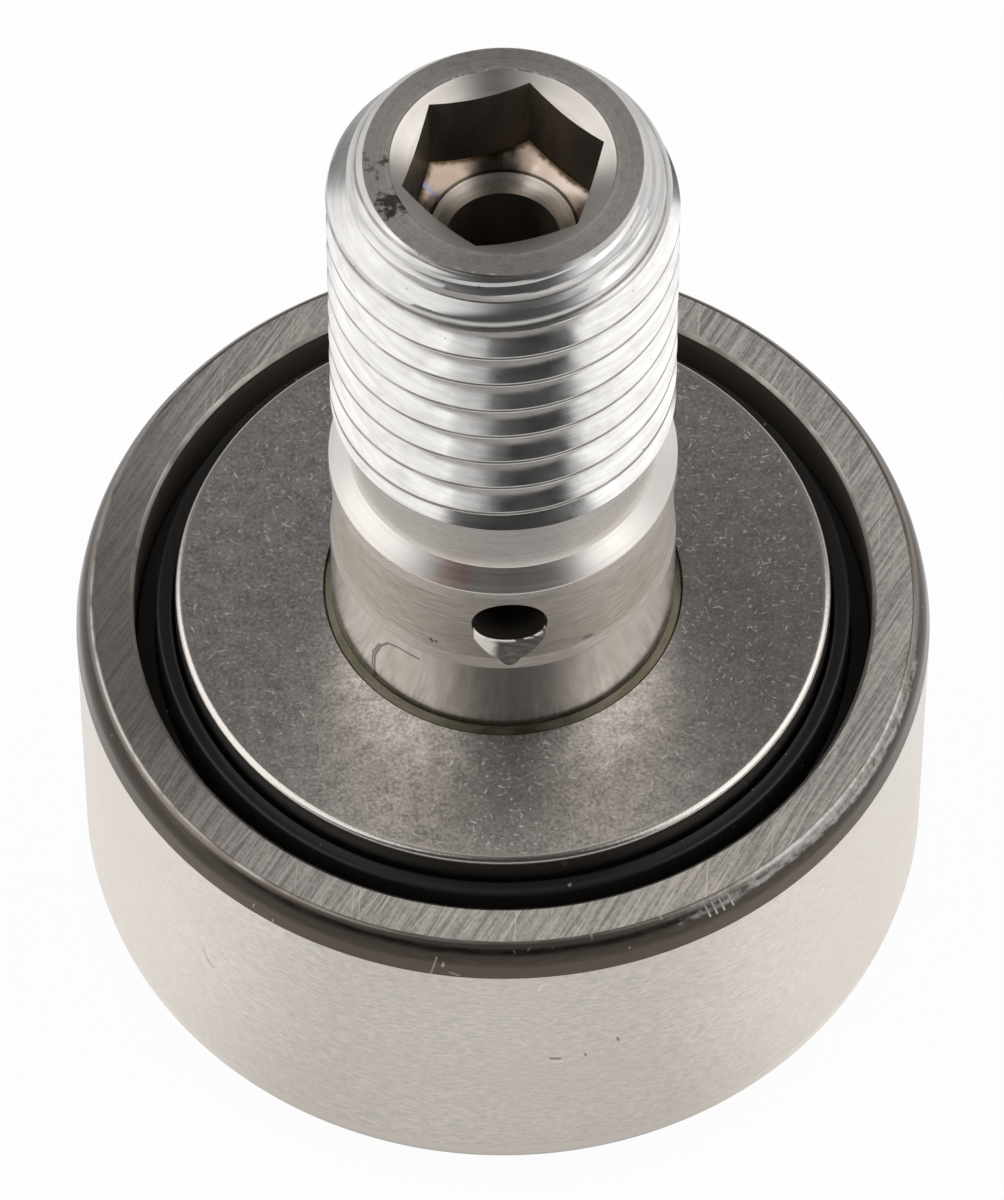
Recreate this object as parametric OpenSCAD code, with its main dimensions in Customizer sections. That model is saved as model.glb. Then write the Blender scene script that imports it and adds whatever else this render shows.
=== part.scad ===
// Cam follower: a thick outer ring that turns on needle rollers around a threaded stud.
// Millimetres. +Z runs along the stud, and the origin is the centre of the head face.

/* [Outer ring] */
// Outside diameter of the outer ring
ring_d = 30; // [27:0.5:36]
// Width of the outer ring
ring_w = 14; // [12:0.5:20]
// How far each rounded corner reaches along the tread
corner_axial = 1.4; // [0.8:0.1:2.4]
// How far each rounded corner drops at the ring's face
corner_radial = 0.54; // [0.2:0.02:0.8]
// Chamfer at the mouth of each seal recess
recess_chamfer = 0.15; // [0.05:0.05:0.4]
// Chamfer at each edge of the ring's raceway
race_chamfer = 0.4; // [0.1:0.1:0.8]

/* [Flanges] */
// How far the rims of the head flange and of the side washer lie inside the tread
flange_step = 3.5; // [3:0.1:4.5]
// How deep both flanges reach below the ring's faces
flange_depth = 2.1; // [1.6:0.1:3]
// How far the head face stands outside the ring
head_proud = 0.4; // [0.2:0.1:1.5]
// How far the washer face stands outside the ring
washer_proud = 0.6; // [0.2:0.1:1.5]
// Radius of the rounded rims of both flanges
rim_round = 0.25; // [0.1:0.05:0.6]
// Height of the washer's press seat above the shank
press_h = 0.25; // [0.2:0.05:0.6]
// Chamfer at the mouth of the washer's bore
washer_chamfer = 0.12; // [0.06:0.02:0.4]

/* [Seals] */
// Gap between a flange's rim and the wall of the seal recess
seal_gap = 1.45; // [1.1:0.05:1.7]
// Thickness of the seal's running washer
seal_t = 0.8; // [0.4:0.1:1.2]
// Thickness of the seal's upright lip
lip_t = 0.6; // [0.2:0.05:0.8]
// Gap between a flange's rim and the lip
lip_gap = 0.1; // [0.1:0.05:0.5]
// How far the lip's top lies below the ring's face
lip_depth = 0.45; // [0.2:0.05:0.9]

/* [Needle bearing] */
// Diameter of a needle
needle_d = 2.5; // [2:0.1:3]
// Number of needles
needle_n = 16; // [10:1:16]
// Radius of the rounded ends of a needle
needle_round = 0.3; // [0.1:0.05:0.6]
// Radial thickness of the cage
cage_t = 1.9; // [1.4:0.1:2.1]
// Width of the cage's rim beyond each end of the needles
cage_rim = 0.6; // [0.4:0.1:1.2]

/* [Stud] */
// Diameter of the shank that sits in the machine
shank_d = 12; // [11:0.5:13]
// Length of the stud beyond the side washer
stud_l = 25; // [20:0.5:36]
// How far the thread's crests lie below the shank
crest_drop = 0.1; // [0.02:0.02:0.3]
// Depth of the neck between the shank and the thread
neck_h = 0.65; // [0.4:0.05:1]
// Width of the neck's floor
neck_w = 2.5; // [1:0.1:4]
// Length of the tapered start of the thread
nose_l = 3.5; // [1:0.1:5]
// How far the tapered start drops at the end face
nose_h = 1.24; // [0.4:0.02:1.8]
// Width of the land between the lubrication groove and the neck
land_w = 0.65; // [0.3:0.05:1.2]
// Height of the raceway's shoulder above the shank
shoulder_h = 1.5; // [1:0.1:2]
// Chamfer at the raceway's shoulder
shoulder_chamfer = 0.3; // [0.1:0.05:0.5]
// Width of the grinding relief beside the head flange
relief_w = 0.5; // [0.3:0.1:0.6]
// Depth of the grinding relief beside the head flange
relief_h = 0.15; // [0.05:0.05:0.4]

/* [Grease ways] */
// Diameter of the grease bore along the stud
bore_d = 3.9; // [3:0.1:4.4]
// Chamfer at each mouth of the grease bore
bore_chamfer = 0.5; // [0.2:0.05:0.6]
// Diameter of the grease hole in the shank
shank_hole_d = 2.6; // [1.6:0.1:3]
// Distance of the shank's grease hole from the washer face
shank_hole_z = 6.2; // [5.5:0.1:7.5]
// How far the lubrication groove reaches from the hole's axis towards the washer
groove_below = 2.45; // [1.9:0.05:2.8]
// How far the lubrication groove reaches from the hole's axis towards the thread
groove_above = 1.45; // [1.4:0.05:2.4]
// Depth of the lubrication groove
groove_h = 0.1; // [0.04:0.02:0.3]
// Length of the ramp into the lubrication groove on the washer's side
groove_ramp = 0.45; // [0.1:0.05:0.8]
// Slope of the scoop below the shank's grease hole, from the hole's axis
scoop_slope = 70; // [65:1:80]
// How far the scoop bites into the hole's lower edge
scoop_bite = 0.3; // [0.1:0.02:0.5]
// Diameter of the scoop's round floor
scoop_d = 5.2; // [3:0.1:8]
// Width of the scoop
scoop_w = 2.45; // [1.2:0.05:2.5]
// Diameter of the grease hole in the raceway
race_hole_d = 2; // [1:0.1:3]

/* [Hex sockets] */
// Size of each socket across its flats
hex_af = 6; // [5.6:0.1:6.4]
// Depth of each socket at its flats
hex_depth = 3.65; // [2.5:0.05:5]
// Turn of the sockets' corners from the X axis
hex_turn = 13; // [0:1:59]
// How far each socket's countersink spreads beyond the flats
countersink = 0.75; // [0.5:0.05:1]
// Slope of the countersinks and of the sockets' conical floors
socket_slope = 30; // [15:1:45]

/* [Clearances] */
// Radial running clearance between a needle and each raceway
race_clear = 0.02; // [0.01:0.01:0.05]
// Radial clearance of a needle in its pocket
pocket_clear = 0.05; // [0.02:0.01:0.1]
// Clearance at each end of a needle in its pocket
end_clear = 0.1; // [0.05:0.05:0.3]
// Clearance between the cage and each seal
cage_clear = 0.15; // [0.05:0.05:0.4]
// Clearance between a flange and the seal that runs against it
seal_clear = 0.1; // [0.05:0.05:0.3]
// Clearance between a seal's bore and the stud's raceway
seal_bore_clear = 0.35; // [0.1:0.05:0.8]

/* [Hidden] */
// Steps of a short arc, and sides of a round
arc_n = 6;
round_n = 96;
// Overlap of a cut past the surface that it opens
over = 1;

// Levels along the stud
head_z = head_proud + flange_depth;
ring_z0 = head_proud;
ring_z1 = ring_z0 + ring_w;
ring_mid = (ring_z0 + ring_z1) / 2;
washer_z0 = ring_z1 - flange_depth;
washer_z1 = ring_z1 + washer_proud;
stud_end = washer_z1 + stud_l;
groove_z0 = washer_z1 + shank_hole_z - groove_below;
groove_z1 = washer_z1 + shank_hole_z + groove_above;
land_z1 = groove_z1 + land_w;
neck_z0 = land_z1 + neck_h;
neck_z1 = neck_z0 + neck_w;
thread_z0 = neck_z1 + neck_h - crest_drop;

// Radii from the axis outwards
bore_r = bore_d / 2;
shank_r = shank_d / 2;
neck_r = shank_r - neck_h;
thread_r = shank_r - crest_drop;
press_r = shank_r + press_h;
race_r = shank_r + shoulder_h;
pitch_r = race_r + race_clear + needle_d / 2;
ring_race_r = pitch_r + needle_d / 2 + race_clear;
ring_r = ring_d / 2;
flange_r = ring_r - flange_step;
recess_r = flange_r + seal_gap;

// Half of the raceway's width, and what fills it
race_half = ring_w / 2 - flange_depth - seal_clear - seal_t;
cage_half = race_half - cage_clear;
pocket_half = cage_half - cage_rim;
needle_half = pocket_half - end_clear;

// Sweep of an arc that leaves a straight wall without a step, by its reach along the wall and its drop
function blend_sweep(reach, drop) = 2 * atan(drop / reach);

// Arcs of the ring's rounded corner and of the stud's nose
corner_sweep = blend_sweep(corner_axial, corner_radial);
corner_r = corner_axial / sin(corner_sweep);
nose_sweep = blend_sweep(nose_l, nose_h);
nose_r = nose_l / sin(nose_sweep);

function needle_name(i) = str("needle_", i < 10 ? "0" : "", i);

// Points of an arc round a centre, from one angle to another
function arc(centre, r, from, to) =
  [for (i = [0:arc_n]) let (a = from + (to - from) * i / arc_n) centre + r * [cos(a), sin(a)]];

// Solid turned from a half section of radius and height
module turned(section) {
  rotate_extrude($fn = round_n) polygon(section);
}

// Half section of the stud, without its sockets and bores
function stud_section() = concat(
  [[0, 0]],
  arc([flange_r - rim_round, rim_round], rim_round, -90, 0),
  arc([flange_r - rim_round, head_z - rim_round], rim_round, 0, 90),
  [
    [race_r - relief_h, head_z],
    [race_r - relief_h, head_z + relief_w],
    [race_r, head_z + relief_w + relief_h],
    [race_r, washer_z0 - shoulder_chamfer],
    [race_r - shoulder_chamfer, washer_z0],
    [press_r, washer_z0],
    [press_r, washer_z1 - press_h],
    [shank_r, washer_z1],
    [shank_r, groove_z0],
    [shank_r - groove_h, groove_z0 + groove_ramp],
    [shank_r - groove_h, groove_z1 - groove_h],
    [shank_r, groove_z1],
    [shank_r, land_z1],
    [neck_r, neck_z0],
    [neck_r, neck_z1],
    [thread_r, thread_z0]
  ],
  arc([thread_r - nose_r, stud_end - nose_l], nose_r, 0, nose_sweep),
  [[0, stud_end]]
);

// Void of a hex socket that opens upwards at height 0, with its countersink and conical floor
module hex_socket() {
  flat_r = hex_af / 2;
  corner_reach = hex_af / sqrt(3) + over;
  rise = tan(socket_slope);
  floor_mid = -hex_depth - flat_r * rise;
  mouth_r = flat_r + countersink;
  seat_r = bore_r + bore_chamfer;
  seat_z = floor_mid + seat_r * rise;
  intersection() {
    translate([0, 0, floor_mid])
      rotate(hex_turn) cylinder(d = hex_af / cos(30), h = over - floor_mid, $fn = 6);
    turned([
      [0, floor_mid],
      [corner_reach, floor_mid + corner_reach * rise],
      [corner_reach, over],
      [0, over]
    ]);
  }
  turned([[0, -mouth_r * rise], [mouth_r + over / rise, over], [0, over]]);
  turned([[0, seat_z - seat_r], [seat_r, seat_z], [0, seat_z]]);
}

// Void of the shank's grease hole, along -Y, with a steep, shallow scoop under its mouth
module shank_hole() {
  hole_r = shank_hole_d / 2;
  scoop_r = scoop_d / 2;
  scoop_up = hole_r / sin(scoop_slope);
  scoop_down = scoop_bite / cos(scoop_slope) + over;
  translate([0, 0, washer_z1 + shank_hole_z]) {
    rotate([90, 0, 0]) cylinder(r = hole_r, h = shank_r + over, $fn = round_n);
    intersection() {
      translate([0, groove_h - shank_r + scoop_bite, -hole_r])
        rotate([90 + scoop_slope, 0, 0])
          translate([0, scoop_r, -scoop_up])
            cylinder(r = scoop_r, h = scoop_up + scoop_down, $fn = round_n);
      cube([scoop_w, 2 * (shank_r + scoop_d), 2 * shank_r], center = true);
    }
  }
}

module roller_stud() {
  color("#b9b4ad") difference() {
    turned(stud_section());
    translate([0, 0, -over]) cylinder(r = bore_r, h = stud_end + 2 * over, $fn = round_n);
    translate([0, 0, stud_end]) hex_socket();
    mirror([0, 0, 1]) hex_socket();
    shank_hole();
    translate([0, 0, ring_mid]) rotate([-90, 0, 0])
      cylinder(d = race_hole_d, h = race_r + over, $fn = round_n);
  }
}

module side_washer() {
  color("#86827c") turned(concat(
    [[press_r, washer_z0]],
    arc([flange_r - rim_round, washer_z0 + rim_round], rim_round, -90, 0),
    arc([flange_r - rim_round, washer_z1 - rim_round], rim_round, 0, 90),
    [[press_r + washer_chamfer, washer_z1], [press_r, washer_z1 - washer_chamfer]]
  ));
}

module outer_ring() {
  race_z0 = ring_mid - race_half;
  race_z1 = ring_mid + race_half;
  corner_c = ring_r - corner_r;
  color("#d5d0c8") turned(concat(
    [[recess_r + recess_chamfer, ring_z0]],
    arc([corner_c, ring_z0 + corner_axial], corner_r, -corner_sweep, 0),
    arc([corner_c, ring_z1 - corner_axial], corner_r, 0, corner_sweep),
    [
      [recess_r + recess_chamfer, ring_z1],
      [recess_r, ring_z1 - recess_chamfer],
      [recess_r, race_z1],
      [ring_race_r + race_chamfer, race_z1],
      [ring_race_r, race_z1 - race_chamfer],
      [ring_race_r, race_z0 + race_chamfer],
      [ring_race_r + race_chamfer, race_z0],
      [recess_r, race_z0],
      [recess_r, ring_z0 + recess_chamfer]
    ]
  ));
}

// Running washer and lip, seated on the ring's inner shoulder and in its recess
module seal() {
  seal_r = race_r + seal_bore_clear;
  seal_top = race_half + seal_t;
  lip_r0 = flange_r + lip_gap;
  lip_r1 = lip_r0 + lip_t;
  lip_mid = [(lip_r0 + lip_r1) / 2, ring_w / 2 - lip_depth - lip_t / 2];
  turned(concat(
    [[seal_r, race_half], [recess_r, race_half], [recess_r, seal_top], [lip_r1, seal_top]],
    arc(lip_mid, lip_t / 2, 0, 180),
    [[lip_r0, seal_top], [seal_r, seal_top]]
  ));
}

module stud_seal() {
  color("#1d1b19") translate([0, 0, ring_mid]) seal();
}

module head_seal() {
  color("#1d1b19") translate([0, 0, ring_mid]) mirror([0, 0, 1]) seal();
}

// Window cage whose round pockets hold each needle from both sides
module needle_cage() {
  color("#33312e") translate([0, 0, ring_mid]) difference() {
    turned([
      [pitch_r - cage_t / 2, -cage_half],
      [pitch_r + cage_t / 2, -cage_half],
      [pitch_r + cage_t / 2, cage_half],
      [pitch_r - cage_t / 2, cage_half]
    ]);
    for (i = [1:needle_n]) at_needle(i)
      cylinder(d = needle_d + 2 * pocket_clear, h = 2 * pocket_half, center = true, $fn = round_n);
  }
}

// Place on the pitch circle of the needle with this number
module at_needle(i) {
  rotate(360 * (i - 1) / needle_n) translate([pitch_r, 0, 0]) children();
}

module needle(i) {
  side_r = needle_d / 2 - needle_round;
  color("#c9c6c0") translate([0, 0, ring_mid]) at_needle(i) turned(concat(
    [[0, -needle_half]],
    arc([side_r, needle_round - needle_half], needle_round, -90, 0),
    arc([side_r, needle_half - needle_round], needle_round, 0, 90),
    [[0, needle_half]]
  ));
}

roller_stud();
side_washer();
outer_ring();
stud_seal();
head_seal();
needle_cage();
for (i = [1:needle_n]) needle(i);
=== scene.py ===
"""Looks of a cam follower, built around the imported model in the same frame, in metres."""
import math
import bpy
import bmesh
import numpy as np
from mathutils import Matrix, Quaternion, Vector


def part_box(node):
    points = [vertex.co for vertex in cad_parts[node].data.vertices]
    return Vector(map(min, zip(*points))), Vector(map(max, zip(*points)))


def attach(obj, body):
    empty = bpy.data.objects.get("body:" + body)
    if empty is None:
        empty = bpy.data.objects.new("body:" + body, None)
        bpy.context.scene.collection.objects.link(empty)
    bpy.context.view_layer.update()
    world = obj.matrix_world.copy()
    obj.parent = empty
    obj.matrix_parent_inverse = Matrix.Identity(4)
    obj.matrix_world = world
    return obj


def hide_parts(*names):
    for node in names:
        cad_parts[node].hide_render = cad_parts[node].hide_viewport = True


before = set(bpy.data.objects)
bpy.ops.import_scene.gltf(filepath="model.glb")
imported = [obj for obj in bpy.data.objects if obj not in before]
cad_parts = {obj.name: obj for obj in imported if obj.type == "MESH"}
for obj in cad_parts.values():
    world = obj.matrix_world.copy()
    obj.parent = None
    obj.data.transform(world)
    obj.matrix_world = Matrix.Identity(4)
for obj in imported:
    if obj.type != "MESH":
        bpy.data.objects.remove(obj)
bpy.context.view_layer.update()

# Sizes in millimetres, read from the frame where a node's box gives them
MM = 0.001


def box_mm(node):
    """Lowest and highest corner of a node, in millimetres."""
    low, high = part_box(node)
    return np.array(low) / MM, np.array(high) / MM


washer_low, washer_high = box_mm("side_washer")
ring_low, ring_high = box_mm("outer_ring")
seal_low, seal_high = box_mm("stud_seal")

flange_r = washer_high[0]
washer_z0, washer_z1 = washer_low[2], washer_high[2]
stud_end = box_mm("roller_stud")[1][2]
ring_r = ring_high[0]
ring_z0, ring_z1 = ring_low[2], ring_high[2]
ring_mid = (ring_z0 + ring_z1) / 2
ring_half = (ring_z1 - ring_z0) / 2
race_half = seal_low[2] - ring_mid
recess_r = seal_high[0]
head_z = ring_z0 + (ring_z1 - washer_z0)

# Ring
corner_axial = 1.4
corner_radial = 0.54
crease_axial = 0.53
crease_radial = 0.15
recess_chamfer = 0.15
race_r = 10.04
race_chamfer = 0.4

# Seals
seal_r = 7.85
seal_t = 0.8
lip_t = 0.6
lip_gap = 0.1
lip_depth = 0.45

# Stud
rim_round = 0.25
stud_race_r = 7.5
relief_w = 0.5
relief_h = 0.15
shoulder_chamfer = 0.3
press_r = 6.25
mouth_r = 6.29
oil_top = 0.1
oil_foot = 0.06
shank_r = 6.0
groove_z = washer_z1 + 3.75
groove_ramp = 0.45
groove_top = washer_z1 + 7.65
groove_h = 0.1
groove_lip = 0.14
land_top = washer_z1 + 8.3
neck_r = 5.35
neck_z0 = land_top + shank_r - neck_r
neck_z1 = neck_z0 + 2.5
bore_r = 1.95
hole_r = 1.3
hole_z = washer_z1 + 6.2
scoop_slope = math.radians(70)
scoop_bite = 0.3
scoop_r = 2.6
scoop_w = 2.45
race_hole_r = 1.0

# Thread
pitch = 1.5
crest_r = 5.9
half_crest = 0.1
thread_depth = 0.82
root_blend = 0.06
seam_h = 0.03
seam_half = 0.05
thread_z0 = neck_z1 + crest_r - neck_r
collar_rise = 1.3
crest_front_z = washer_z1 + 19.0
nose_rise = 0.7
nose_blend = 0.35
nose_edge = 0.02
fold_h = 0.03
fold_reach = 2.0
fold_clear = 0.08
fold_fade = 0.1
folds_per_pitch = 4
end_r = 4.66

# Hex sockets
hex_af = 6.0
hex_depth = 3.65
hex_turn = math.radians(13)
socket_rise = math.tan(math.radians(30))
countersink_r = 3.75
bore_chamfer = 0.5

# Fineness of the meshes, and how far a cutter passes the surface that it cuts
SIDES = 360
DRILL_SIDES = 128
SOCKET_SIDES = 144
FLOOR_SIDES = 96
FILLET_STEPS = 8
SHARP_ANGLE = math.radians(16)
WELD = 1e-5
SLIVER = 1e-6
over = 1.0

# Axis of the stud, direction from the object to the camera on the floor, and the camera's right
AXIS = (0, 0, 1)
front_angle = math.radians(-92.2)
toward = Vector((math.cos(front_angle), math.sin(front_angle), 0))
right = Vector((-toward.y, toward.x, 0))


# Outlines and turned meshes
def rounded(points, closed=False):
    """Outline through points of radius, height, fillet and zone, with an arc at each corner with a fillet.

    Each point that comes back is a radius, a height and the zone of the stretch that leaves it."""
    spots = [np.array(p[:2], float) for p in points]
    outline = []
    for i, (here, (_, _, fillet, zone)) in enumerate(zip(spots, points)):
        at_end = not closed and i in (0, len(points) - 1)
        if not fillet or at_end:
            outline.append((*here, zone))
            continue
        back = spots[i - 1] - here
        ahead = spots[(i + 1) % len(spots)] - here
        back /= np.linalg.norm(back)
        ahead /= np.linalg.norm(ahead)
        half = math.acos(float(np.clip(back @ ahead, -1, 1))) / 2
        middle = (back + ahead) / np.linalg.norm(back + ahead)
        centre = here + middle * fillet / math.sin(half)
        start = here + back * fillet / math.tan(half) - centre
        end = here + ahead * fillet / math.tan(half) - centre
        a0 = math.atan2(start[1], start[0])
        turn = math.atan2(end[1], end[0]) - a0
        turn = (turn + math.pi) % (2 * math.pi) - math.pi
        for k in range(FILLET_STEPS + 1):
            a = a0 + turn * k / FILLET_STEPS
            outline.append((*(centre + fillet * np.array([math.cos(a), math.sin(a)])), zone))
    return outline


def mesh_piece(name, bm):
    """New object from a bmesh in millimetres, with outward normals."""
    bmesh.ops.remove_doubles(bm, verts=bm.verts, dist=WELD)
    bmesh.ops.dissolve_degenerate(bm, edges=bm.edges, dist=SLIVER)
    bmesh.ops.recalc_face_normals(bm, faces=bm.faces)
    bmesh.ops.scale(bm, verts=bm.verts, vec=(MM, MM, MM))
    mesh = bpy.data.meshes.new(name)
    bm.to_mesh(mesh)
    bm.free()
    piece = bpy.data.objects.new(name, mesh)
    bpy.context.scene.collection.objects.link(piece)
    return piece


def smooth(piece):
    """Smooth shading that follows the larger faces and keeps sharp edges."""
    piece.data.shade_smooth()
    piece.data.set_sharp_from_angle(angle=SHARP_ANGLE)
    weighted = piece.modifiers.new("weighted normals", "WEIGHTED_NORMAL")
    weighted.keep_sharp = True
    weighted.weight = 100


def sweep_rows(bm, rows, zones, closed):
    """Skins rows of vertices, each a full turn, from one row to the next."""
    pairs = list(zip(rows, rows[1:])) + ([(rows[-1], rows[0])] if closed else [])
    for (low, high), zone in zip(pairs, zones):
        for i in range(len(low)):
            k = (i + 1) % len(low)
            bm.faces.new((low[i], low[k], high[k], high[i])).material_index = zone


def turned_rows(bm, outline, sides):
    """One row of vertices round Z for each point of an outline."""
    turn = np.linspace(0, 2 * math.pi, sides, endpoint=False)
    return [[bm.verts.new((r * math.cos(a), r * math.sin(a), z)) for a in turn] for r, z, _ in outline]


def turned(name, outline, closed=True, sides=SIDES):
    """Mesh turned about Z from an outline of radius, height and zone."""
    bm = bmesh.new()
    sweep_rows(bm, turned_rows(bm, outline, sides), [zone for _, _, zone in outline], closed)
    return mesh_piece(name, bm)


# Stud: turned body with a rolled thread, cut by its sockets, bore and grease holes
def soft_min(a, b, blend):
    """Lower of two values, with a rounded change-over."""
    share = min(max(0.5 + (b - a) / (2 * blend), 0), 1)
    return b + (a - b) * share - blend * share * (1 - share)


def thread_radius(offset, z):
    """Radius of the rolled thread at an offset along the axis from a crest's middle, at a height."""
    away = abs(offset)
    flank = (away - half_crest) * math.sqrt(3)
    seam = seam_h * max(0.0, 1 - away / seam_half)
    depth = soft_min(max(flank, seam), thread_depth, root_blend)
    on_nose = min(max(z - stud_end + fold_reach, 0), 1)
    on_nose *= min(max(stud_end - z - fold_clear, 0) / fold_fade, 1)
    fold = fold_h * on_nose * math.cos(2 * math.pi * folds_per_pitch * offset / pitch)
    collar = (z - thread_z0) * collar_rise
    nose = soft_min(end_r + nose_rise * (stud_end - z), crest_r + nose_blend / 4, nose_blend)
    return soft_min(crest_r - min(depth, collar), nose - fold, nose_edge)


def thread_rows(bm, sides):
    """Vertices of the thread on rows that climb with the helix, held between the collar and the end face."""
    below = [-0.75, -0.7, -0.65, -0.6, -0.55, -0.5, -0.42, -0.34, -0.26, -0.19, -0.13, -0.1, -0.05, -0.03]
    offsets = below + [0] + [-o for o in reversed(below[1:])]
    spare_turns = 3
    lead_turns = 1.5
    turns = math.ceil((stud_end - thread_z0) / pitch) + spare_turns
    first = crest_front_z - pitch * math.ceil((crest_front_z - thread_z0) / pitch + lead_turns)
    rows = []
    for n in range(turns + 1):
        for offset in offsets:
            row = []
            for i in range(sides):
                a = 2 * math.pi * i / sides
                z = first + n * pitch + offset + pitch * (a - front_angle - 2 * math.pi) / (2 * math.pi)
                z = min(max(z, thread_z0), stud_end)
                r = thread_radius(offset, z)
                row.append(bm.verts.new((r * math.cos(a), r * math.sin(a), z)))
            rows.append(row)
    return rows, len(offsets)


def skin_helix(bm, rows, per_turn):
    """Skins helical rows, joining the end of each turn to the start of the next."""
    for j in range(len(rows) - 1):
        low, high = rows[j], rows[j + 1]
        for i in range(len(low) - 1):
            bm.faces.new((low[i], low[i + 1], high[i + 1], high[i]))
        if j + per_turn + 1 < len(rows):
            after, above = rows[j + per_turn], rows[j + per_turn + 1]
            bm.faces.new((low[-1], after[0], above[0], high[-1]))


def stud_outline():
    """Half section of the stud from the middle of its head face to the foot of its thread."""
    return rounded([(r, z, fillet, 0) for r, z, fillet in (
        (0, 0, 0),
        (flange_r, 0, rim_round),
        (flange_r, head_z, rim_round),
        (stud_race_r - relief_h, head_z, 0),
        (stud_race_r - relief_h, head_z + relief_w, 0),
        (stud_race_r, head_z + relief_w + relief_h, 0),
        (stud_race_r, washer_z0 - shoulder_chamfer, 0),
        (stud_race_r - shoulder_chamfer, washer_z0, 0),
        (press_r, washer_z0, 0),
        (press_r, washer_z1 - oil_foot, 0),
        (shank_r, washer_z1 + oil_top, 0),
        (shank_r, groove_z, 0.05),
        (shank_r - groove_h, groove_z + groove_ramp, 0.2),
        (shank_r - groove_h, groove_top - groove_lip, 0.05),
        (shank_r, groove_top, 0.05),
        (shank_r, land_top, 0.08),
        (neck_r, neck_z0, 0.06),
        (neck_r, neck_z1, 0.06),
        (crest_r, thread_z0, 0),
    )])


def stud_body():
    """Stud before it is cut: the turned part, the thread and a disc at each end."""
    bm = bmesh.new()
    rows = turned_rows(bm, stud_outline()[1:], SIDES)
    sweep_rows(bm, rows, [0] * len(rows), closed=False)
    foot = bm.verts.new((0, 0, 0))
    for i in range(SIDES):
        bm.faces.new((foot, rows[0][(i + 1) % SIDES], rows[0][i]))
    skin_helix(bm, *thread_rows(bm, SIDES))
    tip = bm.verts.new((0, 0, stud_end))
    rim = turned_rows(bm, [(end_r, stud_end, 0)], SIDES)[0]
    for i in range(SIDES):
        bm.faces.new((tip, rim[i], rim[(i + 1) % SIDES]))
    return mesh_piece("stud", bm)


def drill(name, radius, length):
    """Solid cylinder that stands on the origin."""
    outline = [(0, 0, 0), (radius, 0, 0), (radius, length, 0), (0, length, 0)]
    return turned(name, outline, closed=False, sides=DRILL_SIDES)


def core_cutter():
    """Void along the axis: the grease bore with a hex socket, countersink and conical floor at each end."""
    bm = bmesh.new()
    flat = hex_af / 2
    seat_r = bore_r + bore_chamfer
    seat_depth = hex_depth + (flat - seat_r) * socket_rise
    turn = np.linspace(0, 2 * math.pi, SOCKET_SIDES, endpoint=False)
    corner = flat / np.cos(turn % (math.pi / 3) - math.pi / 6)
    socket = [
        (countersink_r + over / socket_rise, -over),
        (countersink_r, 0),
        (corner, (countersink_r - corner) * socket_rise),
        (corner, hex_depth - (corner - flat) * socket_rise),
        (seat_r, seat_depth),
        (bore_r, seat_depth + bore_chamfer),
    ]
    rows = []
    for radius, z in socket + [(radius, stud_end - depth) for radius, depth in reversed(socket)]:
        row = zip(*np.broadcast_arrays(turn + hex_turn, radius, z))
        rows.append([bm.verts.new((r * math.cos(t), r * math.sin(t), h)) for t, r, h in row])
    sweep_rows(bm, rows, [0] * len(rows), closed=False)
    bm.faces.new(rows[0])
    bm.faces.new(rows[-1])
    return mesh_piece("core_cutter", bm)


def cut(piece, tools, operation="DIFFERENCE"):
    """Takes each tool out of the piece, or keeps what they share, in order, and deletes the tool."""
    for tool in tools:
        change = piece.modifiers.new("cut", "BOOLEAN")
        change.operation = operation
        change.solver = "MANIFOLD"
        change.object = tool
        bpy.context.view_layer.objects.active = piece
        bpy.ops.object.modifier_apply(modifier=change.name)
        bpy.data.objects.remove(tool)


def scoop_axis():
    """Point on the axis of the scoop under the grease hole, and the axis's direction, in the YZ plane."""
    way = Vector((0, -math.cos(scoop_slope), -math.sin(scoop_slope)))
    aside = Vector((0, -math.sin(scoop_slope), math.cos(scoop_slope)))
    lip = Vector((0, groove_h - shank_r + scoop_bite, hole_z - hole_r))
    return lip + aside * scoop_r, way


def stud_cutters():
    """Voids of the stud: its core, the shank's grease hole with a scoop below it, and the raceway's hole."""
    hole = drill("hole_cutter", hole_r, shank_r + over)
    hole.location.z = hole_z * MM
    hole.rotation_euler.x = math.pi / 2
    start, way = scoop_axis()
    scoop_up = hole_r / math.sin(scoop_slope)
    scoop = drill("scoop_cutter", scoop_r, scoop_up + scoop_bite / math.cos(scoop_slope) + over)
    scoop.location = (start - way * scoop_up) * MM
    scoop.rotation_euler.x = math.pi / 2 + scoop_slope
    block = bmesh.new()
    block_w = 4 * scoop_r
    bmesh.ops.create_cube(block, size=block_w)
    bmesh.ops.scale(block, verts=block.verts, vec=(scoop_w / block_w, 1, 1))
    slot = mesh_piece("slot_cutter", block)
    slot.location = scoop.location
    cut(scoop, [slot], "INTERSECT")
    grease = drill("grease_cutter", race_hole_r, stud_race_r + over)
    grease.location.z = ring_mid * MM
    grease.rotation_euler.x = -math.pi / 2
    return [core_cutter(), hole, scoop, grease]


STUD_ZONES = (
    "shank", "oil", "groove", "land", "cone", "neck", "thread", "end_face",
    "countersink", "hex_wall", "hex_floor", "bore_seat", "bore", "hole", "scoop", "head",
)
STUD_TOPS = (
    (washer_z0, "head"),
    (washer_z1 + oil_top, "oil"),
    (groove_z, "shank"),
    (groove_top, "groove"),
    (land_top, "land"),
    (neck_z0, "cone"),
    (thread_z0, "neck"),
)

# What tells the zones apart: the share of a face's normal along Z or X, and lengths
FACE_SHARE = 0.95
SIDE_SHARE = 0.9
CONE_SHARE = 0.8
SEAT_SHARE = 0.6
NEAR = 0.01
HAIR = 0.001
wall_gap = 0.2
countersink_depth = 0.7
socket_reach = 6.5
scoop_reach = 2.4


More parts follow.
